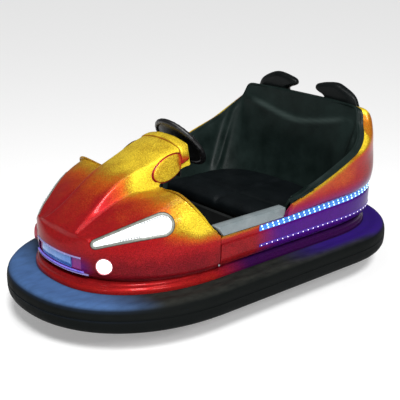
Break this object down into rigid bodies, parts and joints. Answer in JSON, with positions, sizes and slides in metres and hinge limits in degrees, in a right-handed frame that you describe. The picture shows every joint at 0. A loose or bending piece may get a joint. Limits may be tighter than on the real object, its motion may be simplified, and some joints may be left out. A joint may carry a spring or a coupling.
{
  "type": "two-seat bumper car",
  "caption": "Two-seat battery bumper car: oval rubber bumper ring, moulded body with hood and seat tub, steering wheel and swivelling drive wheel.",
  "frame": {"origin": "on the floor under the middle of the bumper ring", "axes": "nose towards -Y, the driver's left +X, up +Z"},
  "size_m": [1.106, 1.95, 0.902],
  "materials": {
    "bumper_rubber": "matte moulded rubber",
    "steel_dark": "satin black paint",
    "body_red": "metal-flake candy red under clear coat",
    "body_gold": "metal-flake gold fading to red under clear coat",
    "battery_case": "moulded case",
    "black_plastic": "satin moulded plastic",
    "black_vinyl": "grained vinyl",
    "pad_grey": "soft grey foam skin",
    "lamp_trim": "bright trim",
    "lamp_glass": "clear lens",
    "led_glow": "lit diffuser strip",
    "grille_blue": "metallic blue plate",
    "wheel_tyre": "solid rubber tread",
    "wheel_metal": "grey painted casting"
  },
  "bodies": {
    "car_body": {"bumper_tyre": "bumper_rubber", "floor_mat": "bumper_rubber", "accelerator_pedal": "bumper_rubber", "bumper_rim": "steel_dark", "chassis_frame": "steel_dark", "crossbar_dash": "steel_dark", "crossbar_bench": "steel_dark", "crossbar_axle": "steel_dark", "crossbar_tail": "steel_dark", "turret_bridge": "steel_dark", "steering_gearbox": "steel_dark", "steering_column": "steel_dark", "floor_plate": "steel_dark", "base_ring": "body_red", "front_body_shell": "body_red", "rear_body_shell": "body_gold", "battery_block": "battery_case", "bench_panel": "black_plastic", "dash_panel": "black_plastic", "toe_board": "black_plastic", "seat_shell": "black_vinyl", "seat_cushion": "black_vinyl", "side_liner_left": "black_vinyl", "side_liner_right": "black_vinyl", "head_horn_left": "black_vinyl", "head_horn_right": "black_vinyl", "sill_pad_left": "pad_grey", "sill_pad_right": "pad_grey", "headlight_frame_left": "lamp_trim", "headlight_frame_right": "lamp_trim", "headlight_lens_left": "lamp_glass", "headlight_lens_right": "lamp_glass", "fog_lamp_left": "lamp_glass", "fog_lamp_right": "lamp_glass", "led_strip_lower_left": "led_glow", "led_strip_lower_right": "led_glow", "led_strip_upper_left": "led_glow", "led_strip_upper_right": "led_glow", "grille_panel": "grille_blue"},
    "steering_wheel": {"steering_wheel": "black_plastic"},
    "drive_turret": {"drive_turret": "steel_dark", "drive_motor": "steel_dark"},
    "drive_wheel": {"drive_wheel_tyre": "wheel_tyre", "drive_wheel_hub": "wheel_metal"},
    "rear_wheel_left": {"rear_wheel_left_tyre": "wheel_tyre", "rear_wheel_left_hub": "wheel_metal"},
    "rear_wheel_right": {"rear_wheel_right_tyre": "wheel_tyre", "rear_wheel_right_hub": "wheel_metal"}
  },
  "joints": [
    {"name": "turret_swivel", "type": "hinge", "parent": "car_body", "child": "drive_turret", "pos_m": [0, -0.53, 0.1], "axis": [0, 0, 1], "continuous": true},
    {"name": "steering", "type": "hinge", "parent": "car_body", "child": "steering_wheel", "pos_m": [0, -0.143, 0.709], "axis": [0, 0.7986, 0.6018], "continuous": true},
    {"name": "drive_wheel_spin", "type": "hinge", "parent": "drive_turret", "child": "drive_wheel", "pos_m": [0, -0.53, 0.1], "axis": [1, 0, 0], "continuous": true},
    {"name": "rear_wheel_left_spin", "type": "hinge", "parent": "car_body", "child": "rear_wheel_left", "pos_m": [0.335, 0.575, 0.1], "axis": [1, 0, 0], "continuous": true},
    {"name": "rear_wheel_right_spin", "type": "hinge", "parent": "car_body", "child": "rear_wheel_right", "pos_m": [-0.335, 0.575, 0.1], "axis": [1, 0, 0], "continuous": true}
  ],
  "couplings": [
    {"joint": "steering", "follows": "turret_swivel", "ratio": 1}
  ]
}
